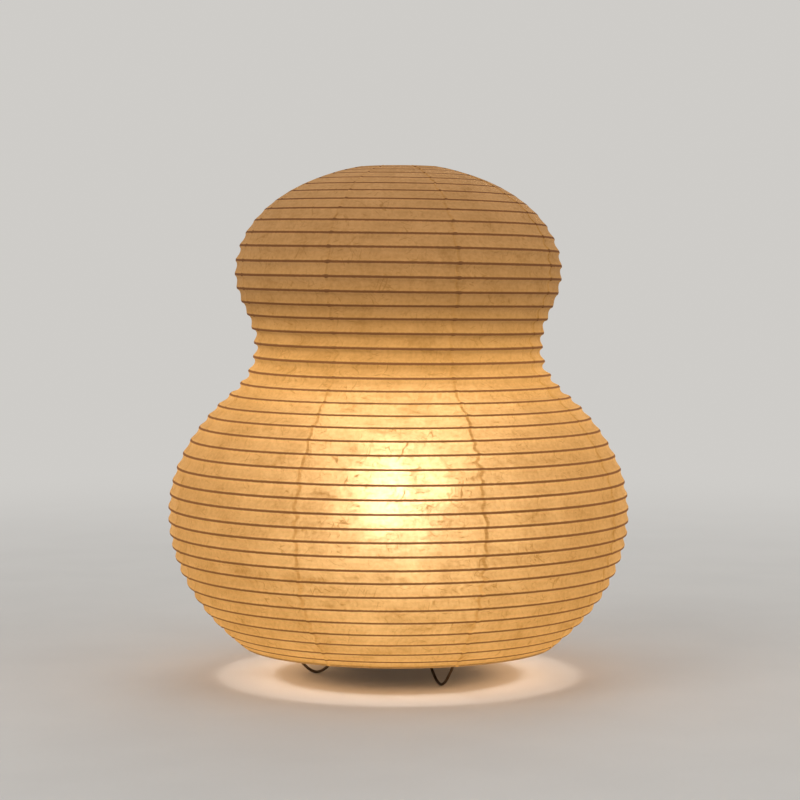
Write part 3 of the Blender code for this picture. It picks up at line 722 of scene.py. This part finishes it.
class Outline:
    """The paper's outer face in radius and height, by the distance along the paper from its top edge."""

    def __init__(self):
        self.body_centre = RIM_HEIGHT + BODY_DROP * math.sqrt(1 - (BOTTOM_RADIUS / BODY_RADIUS) ** 2)
        self.head_centre = self.body_centre + HEAD_OVER_BODY
        head = self.head()
        body = self.body()
        self.points = np.array(head + self.waist(head[-1], body[0])[1:-1] + body)
        self.points[:, 0] -= swells(self.points[:, 1], DRAWN_IN)
        steps = np.linalg.norm(np.diff(self.points, axis=0), axis=1)
        self.distances = np.concatenate(([0.0], np.cumsum(steps)))
        self.length = self.distances[-1]
        along = np.gradient(self.points, self.distances, axis=0)
        along /= np.linalg.norm(along, axis=1, keepdims=True)
        self.outward = np.column_stack((-along[:, 1], along[:, 0]))

    def head(self):
        top = math.asin(TOP_RADIUS / HEAD_RADIUS)
        bottom = math.acos(-WAIST_BELOW_HEAD / HEAD_RISE)
        angles = np.linspace(top, bottom, OUTLINE_STEPS)
        return [(HEAD_RADIUS * math.sin(a), self.head_centre + HEAD_RISE * math.cos(a)) for a in angles]

    def body(self):
        top = math.asin(WAIST_ABOVE_BODY / BODY_RISE)
        bottom = -math.acos(BOTTOM_RADIUS / BODY_RADIUS)
        angles = np.linspace(top, bottom, 2 * OUTLINE_STEPS)
        half_heights = np.where(angles > 0, BODY_RISE, BODY_DROP)
        return list(zip(BODY_RADIUS * np.cos(angles), self.body_centre + half_heights * np.sin(angles)))

    def waist(self, head_end, body_start):
        top = Vector(head_end)
        bottom = Vector(body_start)
        third = (top.y - bottom.y) / 3
        below_top = top - Vector((ellipse_slope(HEAD_RADIUS, HEAD_RISE, -WAIST_BELOW_HEAD), 1)) * third
        above_bottom = bottom + Vector((ellipse_slope(BODY_RADIUS, BODY_RISE, WAIST_ABOVE_BODY), 1)) * third
        return [tuple(p) for p in interpolate_bezier(top, below_top, above_bottom, bottom, OUTLINE_STEPS)]

    def across(self, distance):
        """The outward direction at a distance along the paper, in radius and height."""
        return [np.interp(distance, self.distances, column) for column in self.outward.T]

    def at(self, distance, depth=0.0):
        """Radius and height at a distance along the paper, and at a depth below its outer face."""
        radius, height = [np.interp(distance, self.distances, column) for column in self.points.T]
        out_radius, out_height = self.across(distance)
        return radius - depth * out_radius, height - depth * out_height


OUTLINE = Outline()
RIB_PITCH = (OUTLINE.length - 2 * RIB_INSET) / RIB_TURNS
UNDER_PAPER = PAPER + CLEAR
TOP_RING = OUTLINE.at(RING_INSET, UNDER_PAPER + RING_WIRE / 2)
BOTTOM_RING = OUTLINE.at(OUTLINE.length - RING_INSET, UNDER_PAPER + RING_WIRE / 2)


def rib_distance(turns):
    """Distance along the paper where the rib lies after a number of turns. Its passes aren't quite even."""
    even = RIB_INSET + RIB_PITCH * turns
    lean = -RIB_LEAN * (even - LEVEL_PASS) * np.cos(FIRST_SEAM + TURN * turns)
    free = np.clip(np.minimum(turns, RIB_TURNS - turns) / SETTLED_TURNS, 0, 1)
    return even + free * (swells(even, UNEVEN_PASSES) + lean + waves(TURN * turns, RIB_WOBBLE))


def paper_rows(turns):
    """Rows of paper down each column: distance along the paper, sag, and distance from the rib."""
    flat = np.zeros_like(turns)
    hem_top = flat + HEM
    hem_bottom = flat + OUTLINE.length - HEM
    marks = [hem_top] + [rib_distance(turn + turns) for turn in range(RIB_TURNS)] + [hem_bottom]
    shares = np.linspace(0, 1, SAG_STEPS)
    fall = shares ** SAG_UPPER * (1 - shares) ** SAG_LOWER
    fall /= fall.max()
    rows = [(flat + PAPER_END, flat, flat + HEM)]
    for band, (start, end) in enumerate(zip(marks, marks[1:])):
        span = end - start
        ridge = np.minimum(RIDGE, span / 4)
        puckers = 1 + waves(TURN * (band + turns), PUCKERS)
        height = OUTLINE.at((start + end) / 2)[1]
        sag = swells(height, SAG_PLACES) * np.minimum(span / RIB_PITCH, WIDEST_BAND) ** 2 * puckers
        above = start if band > 0 else start - HEM
        below = end if band < RIB_TURNS else end + HEM
        rows.append((start, flat, start - above))
        for share, depth in zip(shares, fall):
            distance = start + ridge + share * (span - 2 * ridge)
            rows.append((distance, sag * depth, np.minimum(distance - above, below - distance)))
    rows.append((hem_bottom, flat, flat + HEM))
    rows.append((hem_bottom + HEM - PAPER_END, flat, flat + HEM))
    return [np.array(column) for column in zip(*rows)]


STRAYS = np.random.default_rng(SEAM_SEED).normal(0, SEAM_WANDER, (GORES, SEAM_KNOTS))
SEAM_LINES = np.clip(STRAYS, -2 * SEAM_WANDER, 2 * SEAM_WANDER)  # how far each seam strays at every knot


def seam_shift(index, distance):
    knots = np.linspace(0, OUTLINE.length, SEAM_KNOTS)
    return np.interp(distance, knots, SEAM_LINES[index % GORES])


def grid_around(radius, height, angle):
    return np.stack((radius * np.cos(angle), radius * np.sin(angle), height), axis=-1)


def between_directions(first, second, share):
    mixed = first + share * (second - first)
    return mixed / np.linalg.norm(mixed, axis=-1, keepdims=True)


def bulb_glow(points, outward):
    """Light from the bulb on the inner face of the paper, 1 at the body's widest line, to be painted into
    its emission.
    """
    to_bulb = BULB_MIDDLE - points
    distance = np.linalg.norm(to_bulb, axis=-1)
    facing = np.clip(-(outward * to_bulb).sum(axis=-1) / distance, 0, 1)
    taken_in = SLOPELESS_GLOW + (1 - SLOPELESS_GLOW) * facing
    direct = taken_in * (BODY_RADIUS / distance) ** 2
    return (direct + AMBIENT_GLOW) / (1 + AMBIENT_GLOW)


def shell(name, outer, inner):
    """A closed sheet between two grids of points, with the inner face in the second material slot."""
    rows, columns = outer.shape[:2]
    count = rows * columns
    index = np.arange(count).reshape(rows, columns)
    corners = (index[:-1, :-1], index[1:, :-1], index[1:, 1:], index[:-1, 1:])
    front = np.stack(corners, axis=-1).reshape(-1, 4)
    back = front[:, ::-1] + count
    edge = np.concatenate((index[0, :-1], index[:-1, -1], index[-1, :0:-1], index[:0:-1, 0]))
    following = np.roll(edge, -1)
    rim = np.stack((edge, following, following + count, edge + count), axis=-1)
    mesh = bpy.data.meshes.new(name)
    points = np.concatenate((outer.reshape(-1, 3), inner.reshape(-1, 3)))
    mesh.from_pydata(points.tolist(), [], np.concatenate((front, back, rim)).tolist())
    slots = np.zeros(len(mesh.polygons), dtype=np.int32)
    slots[len(front):2 * len(front)] = 1
    return mesh, slots


def on_both_faces(grid):
    """The values of a grid's points, for the outer and then for the inner face of a sheet."""
    values = grid.reshape(-1, *grid.shape[2:])
    return np.concatenate((values, values))


def gore(index):
    """One gore of paper, sagging between the passes of the rib, with margins that overlap at the seams."""
    inside = np.arange(1, GORE_COLUMNS) / GORE_COLUMNS
    share = np.concatenate(([0, 0, 0], inside, [1, 1]))
    laps = np.concatenate(([-1, 0, 1], 0 * inside, [0, 1]))
    lifted = np.concatenate(([1, 1, 1], 0 * inside, [0, 0]))
    distance, depth, off_rib = paper_rows((index + share) / GORES)
    radius, height = OUTLINE.at(distance, depth - LAP_LIFT * lifted)
    lap = np.clip(THINNEST_LAP / radius, LAP / BODY_RADIUS, WIDEST_LAP)
    stray = (1 - share) * seam_shift(index, distance) + share * seam_shift(index + 1, distance)
    angle = FIRST_SEAM + TURN * (index + share) / GORES + stray / radius + laps * lap
    outward = grid_around(*OUTLINE.across(distance), angle)
    outer = grid_around(radius, height, angle)
    mesh, slots = shell(f"gore_{index + 1}", outer, outer - outward * PAPER)
    band_outward = np.cross(np.gradient(outer, axis=0), np.gradient(outer, axis=1))
    band_outward /= np.linalg.norm(band_outward, axis=-1, keepdims=True)
    facing = between_directions(outward, band_outward, BAND_SHADE)
    bending = between_directions(outward, band_outward, BAND_BEND)
    from_seam = np.minimum(share, 1 - share) * TURN / GORES / lap + np.abs(laps)
    crossing = np.clip(2 - from_seam, 0, 1) * swells(height, THICK_CROSSINGS)
    across = (share - 0.5) * TURN / GORES * radius
    sheet = np.stack(np.broadcast_arrays(across, distance, float(index)), axis=-1)
    # the glow is the bulb's light and the bands' shade, painted into the paper's emission
    mark(
        mesh,
        rib=on_both_faces(off_rib - crossing),
        seam=on_both_faces(from_seam),
        glow=on_both_faces(bulb_glow(outer, facing)),
        sheet=on_both_faces(sheet),
        outward=on_both_faces(bending),
    )
    obj = dress(f"shade_panel_{index + 1}", mesh, f"washi_gore_{index + 1}")
    mesh.materials.append(FINISHES["washi_inside"])
    mesh.polygons.foreach_set("material_index", slots)
    return obj


def rib_strip():
    """The split bamboo strip, flat against the paper and round on its inner side."""
    sections = []
    for step in range(RIB_TURNS * RIB_STEPS + 1):
        turns = step / RIB_STEPS
        angle = FIRST_SEAM + TURN * turns
        middle = rib_distance(turns)
        section = []
        for along, depth in RIB_SECTION:
            radius, height = OUTLINE.at(middle + along * RIB, PAPER + PASTE + depth * RIB_DEPTH)
            section.append(around(radius, height, angle))
        sections.append(section)
    return dress("bamboo_rib", loft("rib_strip", sections, closed=False), "rib_strip")


def hoop(node, middle):
    radius, height = middle
    reach = RING_WIRE / 2
    ring = [(radius + reach * x, height + reach * y) for x, y in WIRE_CORNERS]
    turn_piece(node, ring, HOOP_STEPS)


def hem(name, body, middle, distance, beyond):
    """A strip of paper folded round a hoop and pasted over the ends of the gores."""
    out = Vector(OUTLINE.across(distance))
    past = Vector((out.y, -out.x)) * beyond  # along the paper, past its edge
    inner_reach = RING_WIRE / 2 + UNDER_PAPER + PASTE

    def face(reach, angle):
        width = HEM - RING_INSET + waves(angle, HEM_WAVER)
        side = [out * reach - past * width]
        side += [out * reach * math.cos(turn) + past * reach * math.sin(turn) for turn in HEM_FOLD]
        side.append(-out * reach - past * HEM_INSIDE)
        return [(middle[0] + point.x, middle[1] + point.y) for point in side]

    def outline(angle):
        return face(inner_reach + HEM_PAPER, angle) + face(inner_reach, angle)[::-1]

    mesh = turned(name, outline, HOOP_STEPS)
    places = np.array([vertex.co for vertex in mesh.vertices])
    normals = np.array([vertex.normal for vertex in mesh.vertices])
    mark(mesh, rib=HEM, seam=FAR_FROM_SEAM, glow=HEM_GLOW, sheet=places, outward=normals)
    mesh.materials.append(FINISHES["washi_paper"])
    add_piece(name, mesh, body)


def build_shade():
    soft = [gore(index) for index in range(GORES)] + [rib_strip()]
    for obj in soft:
        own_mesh(obj)
    hoop("top_ring", TOP_RING)
    hoop("bottom_ring", BOTTOM_RING)
    hem("top_hem", "shade", TOP_RING, RING_INSET, -1)
    hem("bottom_hem", "shade_hem", BOTTOM_RING, OUTLINE.length - RING_INSET, 1)


# Stand

def levels(node):
    """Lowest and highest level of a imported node."""
    low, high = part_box(node)
    return low.z, high.z


def leg_wires():
    """Three wires, each with a bend down to a foot."""
    level = BOTTOM_RING[1]
    middle = BOTTOM_RING[0] - FOOT_INSET
    drop = level - LEG_WIRE / 2
    path = [(BOTTOM_RING[0] - RING_WIRE / 2 - HOOP_PLAY, level)]
    for step in range(FOOT_STEPS + 1):
        share = 1 - 2 * step / FOOT_STEPS
        path.append((middle + FOOT_SPREAD * share, level - drop * (1 + math.cos(math.pi * share)) / 2))
    path.append((LEG_INNER, level))
    for number, angle in enumerate(LEG_ANGLES, start=1):
        mesh = wire(f"leg_wire_{number}", path, LEG_WIRE)
        mesh.transform(Matrix.Rotation(math.radians(angle), 4, "Z"))
        dress(f"leg_wire_{number}", mesh)


def stretcher():
    spread = PLATE_RADIUS - FERRULE_INSET
    foot = levels("stretcher")[0]
    bar = TOP_RING[1] - RING_WIRE / 2 - CLEAR - STRETCHER_WIRE / 2
    shoulder = TOP_RING[0] + RING_WIRE / 2 + STRETCHER_BEND / 2
    half = [(spread, foot), (spread, foot + FERRULE_HEIGHT), (shoulder, bar)]
    path = rounded(half + [(-x, z) for x, z in reversed(half)], STRETCHER_BEND)
    dress("stretcher", wire("stretcher", path, STRETCHER_WIRE))


def base_plate():
    low, high = levels("base_plate")
    rim = PLATE_RADIUS - PLATE
    outline = [(NIPPLE_HOLE, high - PLATE), (rim, high - PLATE), (rim, low), (PLATE_RADIUS, low)]
    outline += [(PLATE_RADIUS, high), (NIPPLE_HOLE, high)]
    soften(turn_piece("base_plate", outline, HOOP_STEPS), PLATE / 3)


def sleeve(node, bore, radius):
    """A plain turned ring or tube in the place of a node."""
    low, high = levels(node)
    soften(turn_piece(node, [(bore, low), (radius, low), (radius, high), (bore, high)]))


def hex_nut(node):
    """A six-sided nut with its corners turned down."""
    low, high = levels(node)

    def outline(angle):
        from_flat = (angle + math.pi / 6) % (math.pi / 3) - math.pi / 6
        corner = NUT_FLATS / 2 / math.cos(from_flat)
        drop = (corner - NUT_FACE) * math.tan(NUT_CHAMFER)
        side = [(NIPPLE_HOLE, low), (NUT_FACE, low), (corner, low + drop)]
        return side + [(corner, high - drop), (NUT_FACE, high), (NIPPLE_HOLE, high)]

    turn_piece(node, outline, NUT_STEPS)


def nipple():
    low, high = levels("nipple")
    root = NIPPLE_RADIUS - NIPPLE_THREAD
    ends = [[(NIPPLE_BORE, low)], [(NIPPLE_BORE, high)]]
    turn_piece("nipple", threaded(low, high, root, NIPPLE_THREAD, NIPPLE_PITCH, *ends), NIPPLE_STEPS)


def cord_bush():
    low, high = levels("cord_bush")
    shank = NIPPLE_BORE - CLEAR
    outline = [(BUSH_BORE, low), (NIPPLE_RADIUS, low), (NIPPLE_RADIUS, low + BUSH_FLANGE)]
    outline += [(shank, low + BUSH_FLANGE), (shank, high), (BUSH_BORE, high)]
    soften(turn_piece("cord_bush", outline))


def ferrules():
    bore = STRETCHER_WIRE / 2 + CLEAR
    for number, side in ((1, -1), (2, 1)):
        node = f"ferrule_{number}"
        low, high = levels(node)
        seat = high - FERRULE_HEIGHT - FERRULE_FLANGE
        floor = seat + FERRULE_FLANGE
        outline = [(0, low), (SPIGOT_RADIUS, low), (SPIGOT_RADIUS, seat), (FERRULE_FLANGE_RADIUS, seat)]
        outline += [(FERRULE_FLANGE_RADIUS, floor), (FERRULE_RADIUS, floor), (FERRULE_RADIUS, high)]
        outline += [(bore, high), (bore, floor), (0, floor)]
        mesh = turned(node, outline, SMALL_STEPS)
        mesh.transform(Matrix.Translation((side * (PLATE_RADIUS - FERRULE_INSET), 0, 0)))
        soften(dress(node, mesh))


def build_stand():
    leg_wires()
    stretcher()
    base_plate()
    sleeve("leg_clamp", NIPPLE_HOLE, CLAMP_RADIUS)
    sleeve("washer", NIPPLE_HOLE, WASHER_RADIUS)
    hex_nut("hub_nut")
    nipple()
    cord_bush()
    ferrules()


# Lamp holder

def spacer():
    low, high = levels("holder_spacer")
    outline = [(NIPPLE_HOLE, low), (SPACER_RADIUS, low)]
    for share in GROOVE_PLACES:
        level = low + share * (high - low)
        outline += [(SPACER_RADIUS, level - SPACER_GROOVE), (SPACER_RADIUS - SPACER_GROOVE, level)]
        outline += [(SPACER_RADIUS, level + SPACER_GROOVE)]
    outline += [(SPACER_RADIUS, high), (NIPPLE_HOLE, high)]
    soften(turn_piece("holder_spacer", outline))


def holder_base():
    low, high = levels("holder_base")
    wall = HOLDER_RADIUS - HOLDER_WALL
    ledge = low + LEDGE_HEIGHT
    floor = low + HOLDER_FLOOR
    well = NUT_FLATS / 2 / math.cos(math.pi / 6) + CLEAR
    outline = [(NIPPLE_HOLE, low), (HOLDER_NECK_RADIUS, low)]
    for step in range(1, BEND_STEPS + 1):
        angle = math.pi / 2 * step / BEND_STEPS
        swell = (HOLDER_RADIUS - HOLDER_NECK_RADIUS) * math.sin(angle)
        outline.append((HOLDER_NECK_RADIUS + swell, ledge - LEDGE_HEIGHT * math.cos(angle)))
    outline += [(HOLDER_RADIUS, high), (wall, high), (wall, ledge), (wall - HOLDER_LEDGE, ledge)]
    outline += [(well, floor), (NIPPLE_HOLE, floor)]
    soften(turn_piece("holder_base", outline))


def holder_shell():
    low, high = levels("holder_shell")
    bore = HOLDER_RADIUS - HOLDER_WALL
    step = low + SHELL_STEP_HEIGHT
    root = HOLDER_RADIUS - SHELL_STEP - SHELL_THREAD
    foot = [(bore, low), (HOLDER_RADIUS, low), (HOLDER_RADIUS, step)]
    turn_piece("holder_shell", threaded(step, high, root, SHELL_THREAD, SHELL_PITCH, foot, [(bore, high)]))


def holder_collar():
    """A ring nut with flutes for the fingers."""
    low, high = levels("holder_collar")
    bore = HOLDER_RADIUS - SHELL_STEP + CLEAR
    edge = 2 * EDGE

    def outline(angle):
        grip = COLLAR_RADIUS - COLLAR_FLUTE * max(0.0, math.cos(COLLAR_FLUTES * angle)) ** 2
        side = [(bore, low), (grip - edge, low), (grip, low + edge)]
        return side + [(grip, high - edge), (grip - edge, high), (bore, high)]

    turn_piece("holder_collar", outline, FLUTE_STEPS * COLLAR_FLUTES)


def holder_socket():
    """A thin brass sleeve rolled into the thread that takes the bulb."""
    low, high = levels("holder_socket")
    outside = threaded(low, high, SOCKET_BORE + SOCKET_WALL - THREAD_DEPTH, THREAD_DEPTH, THREAD_PITCH)
    inside = threaded(low, high, SOCKET_BORE - THREAD_DEPTH / 2, THREAD_DEPTH, THREAD_PITCH)

    def outline(angle):
        return outside(angle) + inside(angle)[::-1]

    turn_piece("holder_socket", outline)


def button(node, bottom_radius, top_radius):
    """A small turned stud with sloping sides."""
    low, high = levels(node)
    outline = [(0, low), (bottom_radius, low), (top_radius, high), (0, high)]
    soften(turn_piece(node, outline, SMALL_STEPS))


def build_holder():
    disc = HOLDER_RADIUS - HOLDER_WALL - CLEAR
    spacer()
    holder_base()
    hex_nut("holder_locknut")
    button("holder_insulator", disc, disc)
    holder_shell()
    holder_collar()
    holder_socket()
    button("holder_contact", CONTACT_RADIUS, CONTACT_TOP_RADIUS)


# Bulb

def bulb_cap():
    low, high = levels("bulb_cap")
    skirt = high - CAP_PLAIN
    floor = low + CAP_WALL
    root = CAP_RADIUS - THREAD_DEPTH
    inner = root - CAP_WALL
    foot = [(CAP_HOLE, low), (root - EDGE, low)]
    head = [(CAP_RADIUS, skirt + EDGE), (CAP_RADIUS, high - EDGE), (CAP_RADIUS - EDGE, high)]
    head += [(inner, high), (inner, floor), (CAP_HOLE, floor)]
    turn_piece("bulb_cap", threaded(floor, skirt, root, THREAD_DEPTH, THREAD_PITCH, foot, head))


def globe_side(neck_level, inset):
    """One face of the globe's glass from the neck to the crown."""
    radius = GLOBE_RADIUS - inset
    middle = Vector((0, neck_level + GLOBE_NECK_HEIGHT))
    neck = Vector((GLOBE_NECK_RADIUS - inset, neck_level))
    shoulder = middle + Vector((math.cos(GLOBE_SHOULDER), -math.sin(GLOBE_SHOULDER))) * radius
    rise = (shoulder.y - neck_level) / 2
    lean = Vector((math.sin(GLOBE_SHOULDER), math.cos(GLOBE_SHOULDER))) * rise
    flare = interpolate_bezier(neck, neck + Vector((0, rise)), shoulder - lean, shoulder, GLOBE_STEPS)
    side = [(point.x, point.y) for point in flare]
    for step in range(1, GLOBE_STEPS + 1):
        angle = -GLOBE_SHOULDER + (math.pi / 2 + GLOBE_SHOULDER) * step / GLOBE_STEPS
        side.append((max(radius * math.cos(angle), 0.0), middle.y + radius * math.sin(angle)))
    return side


def bulb_globe():
    """A thin shell of glass, open at the neck, lit on its outer face."""
    neck = levels("bulb_globe")[0]
    outline = globe_side(neck, 0) + globe_side(neck, GLOBE_WALL)[::-1]
    obj = turn_piece("bulb_globe", outline, SMALL_STEPS)
    obj.data.materials.append(FINISHES["opal_inside"])
    middle = Vector((0, 0, neck + GLOBE_NECK_HEIGHT))
    for face in obj.data.polygons:
        face.material_index = 0 if face.normal.dot(face.center - middle) > 0 else 1


def build_bulb():
    button("bulb_contact", TIP_END_RADIUS, TIP_RADIUS)
    button("bulb_insulator", TIP_RADIUS, BASE_INSULATOR_RADIUS)
    bulb_cap()
    bulb_globe()


# Studio

def floor():
    """A plain pale floor that passes into the backdrop's colour far from the lamp."""
    finish = Finish("floor", FLOOR_ROUGHNESS)
    mottle = finish.remap(finish.noise(9, detail=3), *MOST_NOISE, *FLOOR_MOTTLE)
    finish.feed("Base Color", finish.scaled(FLOOR_COLOUR, mottle))
    length = finish.node("ShaderNodeVectorMath", {0: finish.place}, operation="LENGTH")
    far = finish.remap(length.outputs["Value"], *FLOOR_FADE)
    backdrop = finish.node("ShaderNodeEmission", {"Color": BACKDROP_COLOUR})
    hidden = finish.math("MULTIPLY", finish.looked_at(), far)
    finish.show(finish.mixed(hidden, finish.shader.outputs["BSDF"], backdrop.outputs["Emission"]))
    finish.material.cycles.emission_sampling = "NONE"
    half = FLOOR_SIZE / 2
    corners = [(-half, -half, 0), (half, -half, 0), (half, half, 0), (-half, half, 0)]
    mesh = bpy.data.meshes.new("floor")
    mesh.from_pydata(corners, [], [(0, 1, 2, 3)])
    mesh.materials.append(finish.material)
    put_in_scene("floor", mesh)


def world():
    """An even backdrop to look at, and a softer even light from all round."""
    studio = bpy.data.worlds.new("studio")
    bpy.context.scene.world = studio
    studio.use_nodes = True
    nodes = Nodes(studio.node_tree)
    light = nodes.tree.nodes["Background"]
    nodes.put(light.inputs["Color"], AMBIENT)
    view = nodes.node("ShaderNodeBackground", {"Color": BACKDROP_COLOUR})
    mix = nodes.mixed(nodes.looked_at(), light.outputs["Background"], view.outputs["Background"])
    nodes.show(mix, "World Output")


def softbox(name, place, power):
    """A square lamp that faces the middle of the object."""
    lamp = bpy.data.lights.new(name, "AREA")
    lamp.size = SOFTBOX_SIZE
    lamp.energy = power
    obj = put_in_scene(name, lamp)
    obj.location = place
    obj.rotation_euler = (Vector(SOFTBOX_AIM) - Vector(place)).to_track_quat("-Z", "Y").to_euler()


def camera():
    lens = bpy.data.cameras.new("camera")
    lens.lens = CAMERA_LENS
    lens.sensor_width = CAMERA_SENSOR
    obj = put_in_scene("camera", lens)
    obj.location = CAMERA_PLACE
    obj.rotation_euler = (math.pi / 2 - CAMERA_DOWN, 0, 0)
    bpy.context.scene.camera = obj


def build_studio():
    floor()
    world()
    for name, place, power in SOFTBOXES:
        softbox(name, place, power)
    camera()
    bpy.context.scene.view_settings.view_transform = "Standard"


build_studio()
build_shade()
build_stand()
build_holder()
build_bulb()
